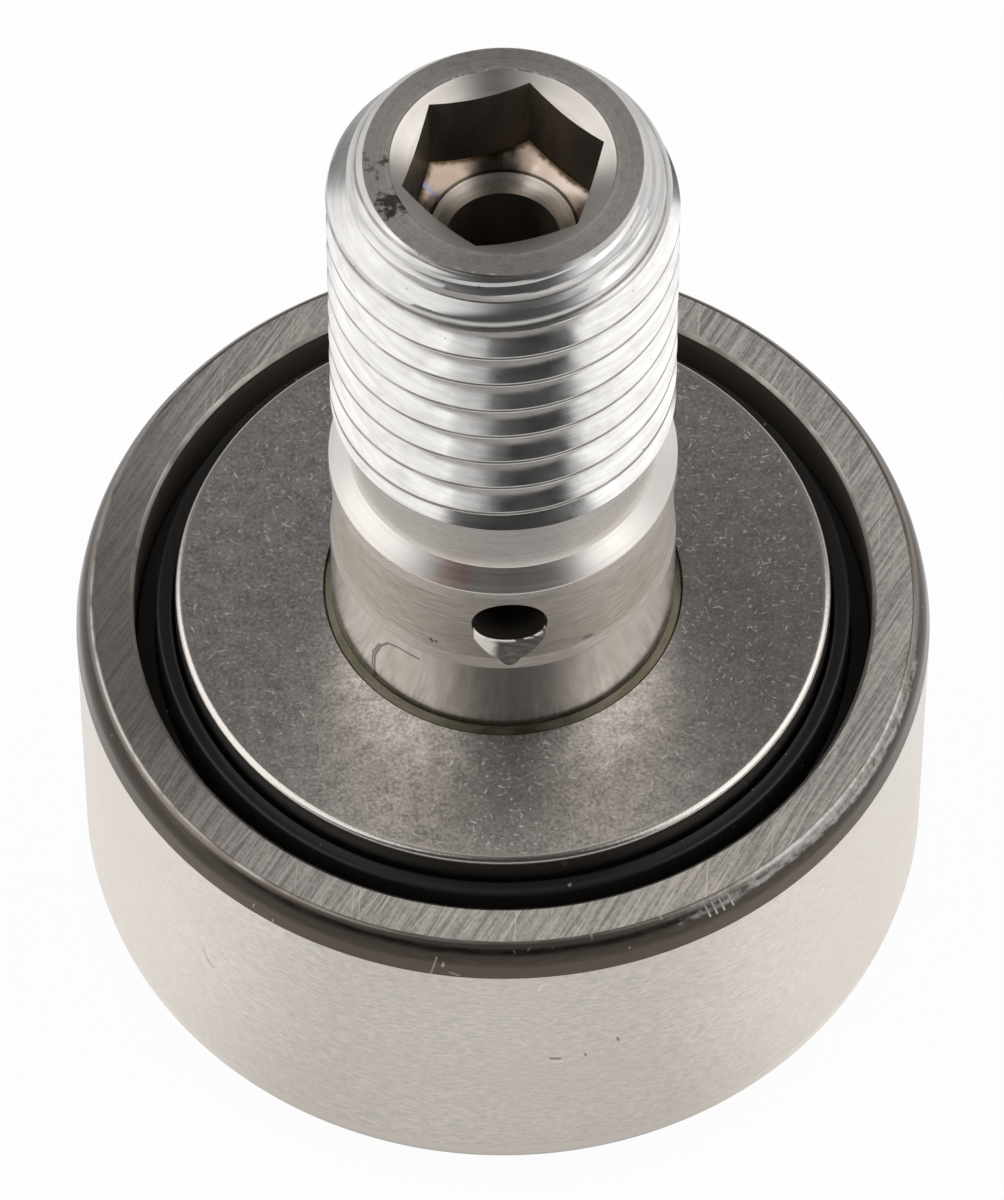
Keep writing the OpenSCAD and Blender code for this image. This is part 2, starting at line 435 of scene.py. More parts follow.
def socket_zone(depth, radius, rise):
    """Zone of a face inside a hex socket, by its depth, radius and the upward share of its normal."""
    if rise > FACE_SHARE and depth < NEAR:
        return "end_face"
    if rise > CONE_SHARE:
        return "countersink" if depth < countersink_depth else "hex_floor"
    if rise > SEAT_SHARE:
        return "bore_seat"
    return "hex_wall" if radius > bore_r + wall_gap else "bore"


def stud_zone(centre, normal):
    """Zone of a face of the stud, by where it lies and how it faces."""
    x, y, z = centre
    radius = math.hypot(x, y)
    depth = min(stud_end - z, z)
    if radius < bore_r + 2 * NEAR:
        return "bore"
    if radius < countersink_r and depth < socket_reach:
        return socket_zone(depth, radius, abs(normal.z))
    by_hole = y < 0 and abs(x) < hole_r and abs(z - hole_z) < scoop_reach
    if by_hole and radius < shank_r - groove_h - HAIR:
        start, way = scoop_axis()
        away = (centre - start).cross(way).length
        on_floor = abs(away - scoop_r) < NEAR
        on_side = abs(abs(x) - scoop_w / 2) < NEAR and abs(normal.x) > SIDE_SHARE
        return "scoop" if on_floor or on_side else "hole"
    if radius < stud_race_r - wall_gap and head_z < z < washer_z0:
        return "hole"
    if stud_end - z < HAIR and normal.z > FACE_SHARE:
        return "end_face"
    for top, zone in STUD_TOPS:
        if z < top:
            return zone
    return "thread"


def mark_zones(piece):
    """Gives each face of the stud the material of its zone."""
    for face in piece.data.polygons:
        face.material_index = STUD_ZONES.index(stud_zone(face.center / MM, face.normal))


# Ring, washer and seals
RING_ZONES = ("race", "recess", "mouth", "face", "corner", "tread")


def ring_outline():
    """Half section of the ring, the same on both sides of its middle."""
    race, recess, mouth, face, corner, tread = range(len(RING_ZONES))
    side = [
        (race_r, race_half - race_chamfer, 0.05, race),
        (race_r + race_chamfer, race_half, 0.05, recess),
        (recess_r, race_half, 0.1, recess),
        (recess_r, ring_half - recess_chamfer, 0.03, mouth),
        (recess_r + recess_chamfer, ring_half, 0.03, face),
        (ring_r - corner_radial, ring_half, 0.2, corner),
        (ring_r - crease_radial, ring_half - crease_axial, 1.3, corner),
        (ring_r, ring_half - corner_axial, 0.03, tread),
    ]
    before = [race] + [point[3] for point in side[:-1]]
    other = [(r, -z, fillet, zone) for (r, z, fillet, _), zone in zip(side, before)]
    points = rounded(side + other[::-1], closed=True)
    return [(r, z + ring_mid, zone) for r, z, zone in points]


def washer_outline():
    """Half section of the side washer, with the oily mouth of its bore as a second zone."""
    return rounded([
        (press_r, washer_z0, 0.05, 0),
        (flange_r, washer_z0, rim_round, 0),
        (flange_r, washer_z1, rim_round, 0),
        (mouth_r, washer_z1, 0.04, 1),
        (press_r, washer_z1 - (mouth_r - press_r), 0, 1),
    ], closed=True)


def seal_outline(side):
    """Half section of a seal: a running washer with an upright lip, on one side of the ring's middle."""
    top = race_half + seal_t
    lip_r0 = flange_r + lip_gap
    lip_r1 = lip_r0 + lip_t
    lip_top = ring_half - lip_depth
    points = rounded([
        (seal_r, race_half, 0.05, 0),
        (recess_r, race_half, 0, 0),
        (recess_r, top, 0.1, 0),
        (lip_r1, top, 0.12, 0),
        (lip_r1, lip_top, 0.16, 0),
        (lip_r0, lip_top, 0.16, 0),
        (lip_r0, top, 0.12, 0),
        (seal_r, top, 0.1, 0),
    ], closed=True)
    return [(r, ring_mid + side * z, zone) for r, z, zone in points]


# Shader helpers
class Nodes:
    """Short ways to add nodes to a tree and to join them."""

    def __init__(self, tree):
        self.tree = tree

    def put(self, kind, settings=None, **inputs):
        """New node with these settings, and with values or links for its named inputs."""
        made = self.tree.nodes.new(kind)
        for key, value in (settings or {}).items():
            setattr(made, key, value)
        for key, value in inputs.items():
            self.join(value, made.inputs[key.replace("_", " ")])
        return made

    def join(self, value, socket):
        """Links an output to a socket, or sets the socket to a constant."""
        if isinstance(value, bpy.types.NodeSocket):
            self.tree.links.new(value, socket)
        else:
            socket.default_value = value

    def feed(self, made, values, output=0):
        """Joins values to a node's inputs in their order, and gives one of its outputs."""
        for value, socket in zip(values, made.inputs):
            self.join(value, socket)
        return made.outputs[output]

    def calc(self, operation, *values):
        return self.feed(self.put("ShaderNodeMath", {"operation": operation}), values)

    def most(self, first, *others):
        for other in others:
            first = self.calc("MAXIMUM", first, other)
        return first

    def both(self, first, *others):
        for other in others:
            first = self.calc("MULTIPLY", first, other)
        return first

    def ease(self, value, low, high, start=0.0, end=1.0):
        """Smooth step from start to end while the value goes from low to high."""
        made = self.put("ShaderNodeMapRange", {"interpolation_type": "SMOOTHSTEP"})
        return self.feed(made, (value, low, high, start, end))

    def vector(self, operation, *values):
        made = self.put("ShaderNodeVectorMath", {"operation": operation})
        if operation == "SCALE":
            self.join(values[1], made.inputs["Scale"])
            values = values[:1]
        return self.feed(made, values, 1 if operation in ("DOT_PRODUCT", "DISTANCE") else 0)

    def point(self, x=0.0, y=0.0, z=0.0):
        return self.put("ShaderNodeCombineXYZ", X=x, Y=y, Z=z).outputs[0]

    def mix(self, share, first, second):
        """Colour between two colours."""
        made = self.put("ShaderNodeMix", {"data_type": "RGBA"})
        self.join(share, made.inputs[0])
        self.join(first, made.inputs[6])
        self.join(second, made.inputs[7])
        return made.outputs[2]

    def level(self, share, first, second):
        """Number between two numbers."""
        made = self.put("ShaderNodeMix", {"data_type": "FLOAT"})
        self.join(share, made.inputs[0])
        self.join(first, made.inputs[2])
        self.join(second, made.inputs[3])
        return made.outputs[0]


class Paint(Nodes):
    """Procedural metal or plastic, with the nodes that its pattern needs. Lengths are millimetres."""

    def __init__(self, name, **constants):
        self.material = bpy.data.materials.new(name)
        self.material.use_nodes = True
        super().__init__(self.material.node_tree)
        self.shader = self.tree.nodes["Principled BSDF"]
        for key, value in constants.items():
            self.shader.inputs[key.replace("_", " ")].default_value = value
        self.at = self.vector("SCALE", self.put("ShaderNodeTexCoord").outputs["Object"], 1 / MM)
        self.x, self.y, self.z = self.put("ShaderNodeSeparateXYZ", Vector=self.at).outputs
        squares = self.calc("MULTIPLY_ADD", self.x, self.x, self.calc("MULTIPLY", self.y, self.y))
        self.r = self.calc("POWER", squares, 0.5)

    def noise(self, per_mm, turn=0.0, detail=3.0, rough=0.55, shift=0.0, at=None):
        """Noise of 0 to 1 with this many features per millimetre along each axis.

        The pattern can be turned about Z, in degrees, and shifted."""
        place = at or self.at
        if turn:
            rotation = (0, 0, math.radians(-turn))
            place = self.put("ShaderNodeMapping", Vector=place, Rotation=rotation).outputs[0]
        place = self.vector("MULTIPLY_ADD", place, per_mm, (shift, shift, shift))
        made = self.put("ShaderNodeTexNoise", Vector=place, Scale=1.0, Detail=detail, Roughness=rough)
        return made.outputs["Fac"]

    def rings(self, per_mm):
        """Noise that runs round the axis, as a turned surface does."""
        return self.noise((per_mm, per_mm, per_mm), rough=0.7, at=self.point(self.r, z=self.z))

    def around(self):
        """Angle round the axis in radians, 0 at the front and positive to the right."""
        side = self.vector("DOT_PRODUCT", self.at, right)
        return self.calc("ARCTAN2", side, self.vector("DOT_PRODUCT", self.at, toward))

    def sector(self, start, end, soft):
        """1 between two angles from the front, in degrees, and 0 elsewhere, with soft ends."""
        turn = self.calc("MULTIPLY", self.around(), 180 / math.pi)
        after = self.ease(turn, start - soft, start + soft)
        before = self.ease(turn, end - soft, end + soft, 1, 0)
        return self.both(after, before)

    def unrolled(self, radius):
        """Place on the unrolled wall of a cylinder: arc from the front, and height above the washer."""
        height = self.calc("SUBTRACT", self.z, washer_z1)
        return self.point(self.calc("MULTIPLY", self.around(), radius), height)

    def stroke(self, place, start, end, width):
        """1 on a straight stroke between two points, and 0 beside it."""
        run = Vector((end[0] - start[0], end[1] - start[1], 0))
        offset = self.vector("SUBTRACT", place, (*start, 0))
        share = self.calc("DIVIDE", self.vector("DOT_PRODUCT", offset, run), run.length_squared)
        share = self.feed(self.put("ShaderNodeClamp"), (share, 0.0, 1.0))
        away = self.vector("DISTANCE", offset, self.vector("SCALE", run, share))
        return self.ease(away, width * 0.4, width, 1, 0)

    def path(self, place, points, width):
        """1 along a path of straight strokes."""
        return self.most(*(self.stroke(place, a, b, width) for a, b in zip(points, points[1:])))

    def flat(self):
        """Place on the plan, without its height."""
        return self.point(self.x, self.y)

    def spot(self, radius, azimuth, reach):
        """1 at a point, fading to 0. It is given by its distance from the axis and its angle from the front."""
        a = math.radians(azimuth)
        centre = (toward * math.cos(a) + right * math.sin(a)) * radius
        return self.ease(self.vector("DISTANCE", self.flat(), centre), 0.0, reach, 1, 0)

    def brush(self, amount, direction):
        """Spreads gloss along a direction on the object, as fine lines across that direction do."""
        self.shader.inputs["Anisotropic"].default_value = amount
        if not isinstance(direction, bpy.types.NodeSocket):
            direction = self.point(*direction)
        to_world = {"vector_type": "VECTOR", "convert_from": "OBJECT", "convert_to": "WORLD"}
        way = self.put("ShaderNodeVectorTransform", to_world, Vector=direction).outputs[0]
        self.join(way, self.shader.inputs["Tangent"])

    def outward(self):
        """Direction away from the axis."""
        return self.vector("NORMALIZE", self.flat())

    def bump(self, height, depth):
        made = self.put("ShaderNodeBump", Strength=1.0, Distance=depth * MM, Height=height)
        self.join(made.outputs[0], self.shader.inputs["Normal"])

    def base(self, share, first, second):
        """Sets the colour to one between two colours."""
        self.colour = self.mix(share, first, second)

    def coat(self, share, colour, strength=1.0):
        """Lays a colour over the one so far, by a share that can be weakened."""
        if strength < 1:
            share = self.both(share, strength)
        self.colour = self.mix(share, self.colour, colour)

    def finish(self, roughness):
        self.join(self.colour, self.shader.inputs["Base Color"])
        self.join(roughness, self.shader.inputs["Roughness"])
        return self.material


def tone(value, warm=0.07):
    """Opaque grey with a share of warmth."""
    return (value * (1 + warm), value, value * (1 - warm), 1)


OIL = (0.085, 0.076, 0.045, 1)
SOOT = (0.030, 0.027, 0.025, 1)
SCALE = (0.060, 0.050, 0.043, 1)


# Materials of the ring
def tread_steel():
    """Ground tread, with short streaks round the ring and a few marks."""
    paint = Paint("tread_steel", Metallic=1.0)
    streak = paint.noise((2.6, 2.6, 8.5), detail=5, rough=0.8)
    streak = paint.level(paint.sector(-44, 40, 18), paint.calc("MULTIPLY_ADD", streak, 0.4, 0.3), streak)
    cloud = paint.noise((0.12, 0.12, 0.25))
    paint.base(paint.ease(streak, 0.3, 0.7), tone(0.56), tone(0.83))
    paint.coat(paint.ease(cloud, 0.35, 0.7, 0, 0.35), tone(0.64, 0.1))
    wall = paint.unrolled(ring_r)
    marks = paint.most(
        paint.both(paint.path(wall, ((-11.6, -6.85), (-11.4, -7.3), (-11.15, -7.6)), 0.06), 0.5),
        paint.both(paint.path(wall, ((-11.55, -7.1), (-11.35, -7.5)), 0.04), 0.4),
        paint.path(wall, ((1.68, -7.39), (1.98, -7.44)), 0.1),
        paint.path(wall, ((4.03, -6.72), (4.07, -6.92)), 0.07),
        paint.path(wall, ((2.87, -7.35), (2.91, -7.5)), 0.06),
    )
    curls = paint.most(
        paint.path(wall, ((1.22, -2.86), (1.34, -2.55), (1.53, -2.42)), 0.07),
        paint.path(wall, ((0.58, -6.12), (0.74, -6.33)), 0.06),
        paint.path(wall, ((1.73, -7.6), (2.1, -7.67)), 0.06),
        paint.path(wall, ((0.05, -8.62), (0.24, -8.58)), 0.05),
    )
    paint.coat(marks, tone(0.2), 0.8)
    paint.coat(curls, tone(0.9, 0.06), 0.7)
    paint.brush(0.7, AXIS)
    paint.bump(streak, 0.0012)
    return paint.finish(paint.ease(streak, 0.25, 0.75, 0.34, 0.42))


def face_steel():
    """Ground face, with fine straight lines across it, brighter scratches and a painted shade on its left,
    where the stud shadows it from the right lamp.
    """
    paint = Paint("face_steel", Metallic=1.0)
    fine = paint.noise((0.25, 9.0, 1.0), turn=57, detail=3, rough=0.75)
    crossed = paint.noise((0.4, 13.0, 1.0), turn=62, detail=2, rough=0.7, shift=4)
    speck = paint.noise((6.0, 6.0, 6.0), detail=3, rough=0.7, shift=7)
    line = paint.most(*(
        paint.ease(paint.noise((0.2, 13.0, 1.0), turn=turn, detail=0, shift=turn), 0.77, 0.82)
        for turn in (50, 61, 84)
    ))
    pair = paint.calc("MULTIPLY_ADD", fine, 0.5, paint.calc("MULTIPLY", crossed, 0.25))
    shade = paint.calc("MULTIPLY_ADD", speck, 0.25, pair)
    paint.base(paint.ease(shade, 0.39, 0.61), tone(0.29), tone(0.61))
    paint.coat(line, tone(0.85), 0.45)
    # Painted shade: darker on the left, where the stud shadows the face from the right lamp.
    paint.coat(paint.sector(-125, -55, 20), tone(0.2), 0.6)
    across = math.radians(-33)
    paint.brush(0.8, (math.cos(across), math.sin(across), 0))
    paint.bump(shade, 0.003)
    return paint.finish(paint.ease(shade, 0.3, 0.7, 0.44, 0.54))


def corner_scale():
    """Dark hardening scale on the rounded corners, scuffed to bare metal along a stretch of the upper one, with
    painted shade on its front left and a worn top edge that is also a painted highlight on its left.
    """
    paint = Paint("corner_scale", Metallic=1.0)
    wall = paint.unrolled(ring_r)
    fine = paint.noise((1.2, 7.0, 1.0), detail=5, rough=0.6, at=wall)
    smear = paint.noise((0.5, 3.5, 1.0), detail=4, shift=5, at=wall)
    height = paint.calc("ABSOLUTE", paint.calc("SUBTRACT", paint.z, ring_mid))
    ragged = paint.calc("MULTIPLY_ADD", smear, 0.35, height)
    upper = paint.ease(ragged, ring_half - 0.6, ring_half - 0.1)
    paint.base(upper, (0.115, 0.094, 0.076, 1), (0.135, 0.110, 0.092, 1))
    top = paint.ease(height, ring_half - 0.24, ring_half - 0.08)
    band = paint.both(paint.ease(ragged, ring_half - 0.75, ring_half - 0.45), paint.ease(top, 0, 1, 1, 0))
    paint.coat(band, (0.045, 0.038, 0.032, 1), 0.7)
    paint.coat(top, (0.30, 0.26, 0.225, 1), 0.6)
    paint.coat(paint.ease(fine, 0.4, 0.75, 0, 0.3), (0.15, 0.125, 0.105, 1))
    # Painted shade: the upper corner is darkened with the scale colour on the front left, where the left lamp
    # falls short of it.
    dull = paint.both(paint.sector(-78, -24, 14), band, 0.6)
    paint.coat(dull, SCALE)
    foot = paint.both(paint.ease(paint.z, ring_mid - 1, ring_mid + 1, 1, 0), paint.ease(upper, 0, 1, 1, 0))
    paint.coat(foot, tone(0.72, 0.09), 0.95)
    stretch = paint.both(paint.sector(24, 80, 12), paint.ease(height, ring_half - 0.55, ring_half - 0.3))
    grit = paint.noise((4.0, 4.0, 4.0), detail=4, rough=0.7, shift=15)
    patchy = paint.calc("MULTIPLY_ADD", smear, 0.35, paint.both(fine, 0.25))
    patchy = paint.calc("MULTIPLY_ADD", grit, 0.4, patchy)
    rub = paint.calc("MULTIPLY_ADD", stretch, 0.25, patchy)
    worn = paint.ease(rub, 0.6, 0.85)
    edge = paint.ease(height, ring_half - 0.07, ring_half - 0.02)
    # Worn edge along the top of the corner, and also a painted highlight: it is full only on the left, where
    # the left lamp catches the edge.
    rim = paint.both(edge, paint.ease(smear, 0.35, 0.55), paint.most(paint.sector(-130, -30, 20), 0.2))
    nick = paint.ease(paint.noise((4.0, 4.0, 2.0), shift=12, detail=1), 0.76, 0.8, 0, 0.6)
    ticks = paint.most(
        paint.path(wall, ((3.18, -0.47), (3.18, -0.67)), 0.06),
        paint.path(wall, ((5.73, -0.42), (5.8, -0.64)), 0.06),
        paint.both(paint.path(wall, ((-2.31, -1.16), (-2.5, -2.02)), 0.05), 0.4),
        paint.both(paint.path(wall, ((-1.83, -1.8), (-1.52, -1.91)), 0.06), 0.4),
    )
    row = (paint.path(wall, ((x, -0.75), (x + 0.08, -1.15)), 0.05) for x in (7.46, 7.73, 8.03, 8.40))
    bare = paint.most(worn, rim, nick, ticks, *row)
    paint.coat(bare, tone(0.47, 0.05))
    paint.bump(paint.calc("ADD", fine, paint.both(bare, -0.4)), 0.003)
    gloss = paint.ease(fine, 0.3, 0.7, 0.2, 0.3)
    return paint.finish(paint.level(paint.most(bare, foot, top), gloss, 0.36))


def mouth_steel():
    """Bright turned edge of a seal recess, broken where it is dirty."""
    paint = Paint("mouth_steel", Metallic=1.0)
    broken = paint.noise((0.6, 0.6, 0.6))
    paint.base(paint.ease(broken, 0.4, 0.7, 0.1, 0.6), tone(0.58), SCALE)
    return paint.finish(paint.ease(broken, 0.4, 0.6, 0.28, 0.4))


def recess_scale():
    """Dark turned wall inside the ring."""
    paint = Paint("recess_scale", Metallic=0.9)
    turn = paint.rings(5)
    paint.base(turn, (0.33, 0.285, 0.24, 1), (0.56, 0.49, 0.425, 1))
    paint.bump(turn, 0.004)
    return paint.finish(paint.ease(turn, 0.3, 0.7, 0.4, 0.55))


# Materials of the washer and the seals
def washer_steel():
    """Tumbled matte steel with mottling, small bright flecks, a few hair scratches, a burnished rim and painted
    shade on its right.
    """
    paint = Paint("washer_steel", Metallic=1.0)
    grain = paint.noise((7.0, 7.0, 7.0), detail=4, rough=0.8)
    cloud = paint.noise((1.4, 1.4, 1.4), detail=4, rough=0.65, shift=3)
    dash = paint.most(*(
        paint.ease(paint.noise((1.8, 9.0, 1.0), turn=turn, detail=1, shift=turn), 0.7, 0.76)
        for turn in (12, 63, 117, 160)
    ))
    hair = paint.most(*(
        paint.ease(paint.noise((0.25, 9.0, 1.0), turn=turn, detail=0, shift=turn), 0.8, 0.83)
        for turn in (35, 95)
    ))
    fleck = paint.ease(paint.noise((6.0, 6.0, 6.0), detail=2, shift=23), 0.6, 0.7)
    rim = paint.ease(paint.r, flange_r - 0.36, flange_r - 0.2)
    shade = paint.calc("MULTIPLY_ADD", grain, 0.65, paint.calc("MULTIPLY", cloud, 0.35))
    paint.base(paint.ease(shade, 0.37, 0.63), tone(0.29, 0.05), tone(0.67, 0.05))
    # Painted shade: darker on the right, where the stud keeps the left lamp's light off the washer.
    paint.coat(paint.sector(45, 125, 40), tone(0.24, 0.05), 0.45)
    bright = paint.most(paint.both(fleck, 0.7), dash, paint.both(hair, 0.5))
    paint.coat(bright, tone(0.85, 0.03), 0.7)
    paint.coat(rim, tone(0.62))
    paint.bump(paint.calc("MULTIPLY_ADD", cloud, 0.5, grain), 0.006)
    rough = paint.level(paint.most(fleck, dash), paint.ease(shade, 0.34, 0.66, 0.36, 0.28), 0.5)
    return paint.finish(paint.level(rim, rough, 0.22))


def oily_steel(name):
    """Edge where oil has gathered and dried."""
    paint = Paint(name, Metallic=0.7)
    cloud = paint.noise((0.8, 0.8, 5.0), detail=4)
    paint.base(paint.ease(cloud, 0.35, 0.7), OIL, tone(0.125, 0.22))
    return paint.finish(paint.ease(cloud, 0.3, 0.7, 0.2, 0.35))


def seal_black():
    """Black moulding with a dull gloss, faint flow lines and dust."""
    paint = Paint("seal_black", Specular_IOR_Level=0.24)
    flow = paint.rings(1.6)
    dust = paint.ease(paint.noise((3.5, 3.5, 3.5), detail=1, shift=9), 0.77, 0.8)
    paint.base(flow, tone(0.013), tone(0.022))
    paint.coat(dust, tone(0.2))
    paint.bump(flow, 0.008)
    return paint.finish(paint.level(dust, paint.ease(flow, 0.3, 0.7, 0.19, 0.27), 0.5))


def cage_plastic():
    """Matte moulded plastic."""
    paint = Paint("cage_plastic", Specular_IOR_Level=0.4)
    grain = paint.noise((6.0, 6.0, 6.0), detail=2)
    paint.bump(grain, 0.004)
    paint.base(grain, tone(0.035), tone(0.055))
    return paint.finish(paint.ease(grain, 0.3, 0.7, 0.45, 0.6))


# Materials of the stud
def turned_steel(name, dark, light, rough, depth=0.004, warm=0.07, spread=0.0, patch=None):
    """Steel with fine lines round the axis and soft clouds.

    It can spread its gloss along the axis, and have a reddish patch between two angles."""
    paint = Paint(name, Metallic=1.0)
    line = paint.rings(6.0)
    cloud = paint.noise((0.5, 0.5, 0.5), detail=4)
    shade = paint.calc("MULTIPLY_ADD", line, 0.6, paint.calc("MULTIPLY", cloud, 0.4))
    paint.base(paint.ease(shade, 0.3, 0.7), tone(dark, warm), tone(light, warm))
    if patch:
        # Reddish tint on a stretch between two angles.
        reddish_patch = paint.both(paint.sector(*patch), paint.ease(cloud, 0.3, 0.6, 0.5, 1))
        paint.coat(reddish_patch, (0.76, 0.59, 0.55, 1))
    if spread:
        paint.brush(spread, AXIS)
    paint.bump(line, depth)
    return paint.finish(paint.ease(shade, 0.3, 0.7, rough * 1.2, rough * 0.85))


def shank_steel():
    """Ground shank with a hooked scratch, a trickle below the hole and oil at its foot."""
    paint = Paint("shank_steel", Metallic=1.0)
    line = paint.noise((0.8, 0.8, 14.0), detail=4, rough=0.7)
    wall = paint.unrolled(shank_r)
    height = paint.calc("SUBTRACT", paint.z, washer_z1)
    wave = paint.noise((0.5, 0.5, 0.2), detail=4, shift=4)
    oil = paint.ease(paint.calc("SUBTRACT", height, paint.both(wave, 0.55)), -0.1, 0.1, 1, 0)
    hook = paint.most(
        paint.path(wall, ((-5.05, 0.3), (-4.98, 1.7), (-4.68, 2.56), (-4.34, 3.06)), 0.07),
        paint.path(wall, ((-4.34, 3.06), (-3.85, 3.23), (-3.02, 3.21)), 0.07),
        paint.path(wall, ((-4.91, 0.43), (-5.15, 0.91), (-5.08, 1.76), (-4.75, 2.6)), 0.06),
    )
    trickle = paint.path(wall, ((0.1, 3.6), (-0.05, 2.6), (0.15, 1.4), (-0.05, 0.5)), 0.1)
    paint.base(line, tone(0.68), tone(0.74))
    paint.coat(hook, tone(0.14, 0.12), 0.85)
    paint.coat(trickle, tone(0.85), 0.3)
    paint.coat(oil, OIL, 0.8)
    paint.brush(0.7, AXIS)
    paint.bump(line, 0.0006)
    return paint.finish(paint.level(oil, paint.ease(line, 0.3, 0.7, 0.2, 0.15), 0.25))


def groove_steel():
    """Matte beige floor of the lubrication groove, paler at its lower edge, with a few stains."""
    paint = Paint("groove_steel", Metallic=1.0)
    line = paint.noise((1.2, 1.2, 10.0), detail=4, rough=0.7)
    cloud = paint.noise((0.7, 0.7, 1.4), detail=4, shift=11)
    wall = paint.unrolled(shank_r)
    smear = paint.path(wall, ((3.0, 4.45), (3.2, 4.4)), 0.16)
    dots = paint.most(
        paint.path(wall, ((-2.62, 4.62), (-2.55, 4.5)), 0.08),
        paint.path(wall, ((-2.4, 4.6), (-2.38, 4.55)), 0.07),
    )
    paint.base(paint.ease(line, 0.3, 0.7), tone(0.42, 0.1), tone(0.66, 0.1))
    paint.coat(paint.ease(cloud, 0.4, 0.7, 0, 0.4), tone(0.42, 0.16))
    foot = paint.ease(paint.z, groove_z + groove_ramp, groove_z + groove_ramp + 0.25, 0.25, 0)
    paint.coat(foot, tone(0.7))
    paint.coat(paint.most(paint.both(dots, 0.85), paint.both(smear, 0.5)), OIL)
    paint.brush(0.6, AXIS)
    paint.bump(line, 0.003)
    return paint.finish(paint.ease(line, 0.3, 0.7, 0.46, 0.38))


def thread_steel():
    """Bright rolled thread with streaks along it, dark crest seams and small pits."""
    paint = Paint("thread_steel", Metallic=1.0)
    streak = paint.noise((0.5, 0.5, 12.0), detail=3, rough=0.6)
    soft = paint.noise((0.9, 0.9, 1.6), detail=4, shift=21)
    height = paint.calc("SUBTRACT", paint.z, crest_front_z)
    climb = paint.calc("MULTIPLY_ADD", paint.around(), -pitch / (2 * math.pi), height)
    off_crest = paint.calc("PINGPONG", climb, pitch / 2)
    seam = paint.both(paint.ease(off_crest, 0.03, 0.07, 1, 0), paint.ease(soft, 0.35, 0.6, 0.4, 0.8))
    pit = paint.ease(paint.noise((4.0, 4.0, 4.0), detail=1, shift=2), 0.76, 0.8, 0, 0.6)
    paint.base(paint.ease(streak, 0.3, 0.7), tone(0.58, 0.02), tone(0.70, 0.02))
    paint.coat(paint.ease(soft, 0.45, 0.75, 0, 0.5), tone(0.5, 0.03))
    paint.coat(paint.most(seam, pit), tone(0.2, 0.1))
    nose = paint.ease(paint.z, stud_end - 2.4, stud_end - 1.4)
    return paint.finish(paint.level(nose, paint.ease(soft, 0.3, 0.7, 0.14, 0.24), 0.28))


def end_face_steel():
    """Turned end face with a sooty smudge on one side and bright nicks on its rim, which are also painted
    glints.
    """
    paint = Paint("end_face_steel", Metallic=1.0)
    line = paint.rings(5)
    cloud = paint.noise((2.4, 2.4, 2.4), detail=5, rough=0.7)
    blot = paint.noise((3.2, 3.2, 3.2), detail=3, rough=0.6, shift=8)
    trail = paint.both(paint.spot(4.15, -88, 1.4), 0.55)
    reach = paint.most(paint.spot(4.05, -64, 1.2), trail)
    soot = paint.ease(paint.calc("MULTIPLY_ADD", reach, 0.45, blot), 0.68, 0.9)
    # Bright nicks on the outer rim at the front and on the countersink's edge at the back; they are also
    # painted glints.
    front = paint.both(paint.ease(paint.r, end_r - 0.12, end_r - 0.03), paint.sector(-55, 12, 10))
    rear = paint.ease(paint.r, countersink_r + 0.04, countersink_r + 0.14, 1, 0)
    rear = paint.both(rear, paint.ease(paint.sector(-140, 140, 10), 0, 1, 1, 0))
    chips = paint.ease(paint.noise((3.2, 3.2, 3.2), detail=2), 0.52, 0.58)
    nick = paint.both(paint.most(front, rear), chips)
    paint.base(paint.ease(line, 0.35, 0.65), tone(0.45), tone(0.66))
    paint.coat(paint.ease(cloud, 0.42, 0.66, 0, 0.6), tone(0.3))
    paint.coat(nick, tone(0.85))
    paint.coat(soot, SOOT, 0.92)
    paint.brush(0.5, paint.outward())
    paint.bump(line, 0.005)
    return paint.finish(paint.level(soot, paint.ease(cloud, 0.3, 0.7, 0.36, 0.46), 0.6))


def hex_floor_steel():
    """Socket floor with brown and straw temper colours, painted reflections that make it lighter on the right
    and darker on the left and back, a dark line round the seat and one bluish streak.
    """
    paint = Paint("hex_floor_steel", Metallic=1.0)
    cloud = paint.noise((0.9, 0.9, 0.9), detail=4)
    fine = paint.noise((3.0, 3.0, 3.0), detail=4, shift=6)
    paint.base(paint.ease(cloud, 0.35, 0.65), (0.36, 0.27, 0.215, 1), (0.46, 0.375, 0.31, 1))
    paint.coat(paint.ease(fine, 0.45, 0.75, 0, 0.3), (0.36, 0.25, 0.15, 1))
    # Painted reflections: lighter on the right, darker on the left, and darkest at the back, where the floor
    # mirrors the dark room in front.
    paint.coat(paint.sector(30, 150, 30), (0.68, 0.57, 0.49, 1), 0.65)
    paint.coat(paint.sector(-150, -40, 25), (0.27, 0.195, 0.15, 1), 0.4)
    paint.coat(paint.sector(-190, -154, 5), (0.12, 0.085, 0.065, 1), 0.7)
    walls = [hex_turn + math.radians(30 + 60 * k) for k in range(3)]
    spans = [paint.vector("DOT_PRODUCT", paint.at, (math.cos(a), math.sin(a), 0)) for a in walls]
    reach = paint.most(*(paint.calc("ABSOLUTE", span) for span in spans))
    # Darker along the foot of the walls.
    wall_foot_dark = paint.ease(paint.calc("MULTIPLY_ADD", fine, 0.3, reach), hex_af / 2 - 0.06, hex_af / 2 + 0.13)
    paint.coat(wall_foot_dark, (0.07, 0.048, 0.022, 1))
    seat_r = bore_r + bore_chamfer
    line = paint.ease(paint.r, seat_r + 0.06, seat_r + 0.13, 0.9, 0)
    paint.coat(line, (0.05, 0.04, 0.025, 1))
    streak = paint.stroke(paint.flat(), (-2.05, 1.35), (-2.75, 1.9), 0.14)
    paint.coat(streak, (0.24, 0.25, 0.42, 1), 0.6)
    return paint.finish(paint.ease(fine, 0.3, 0.7, 0.22, 0.14))


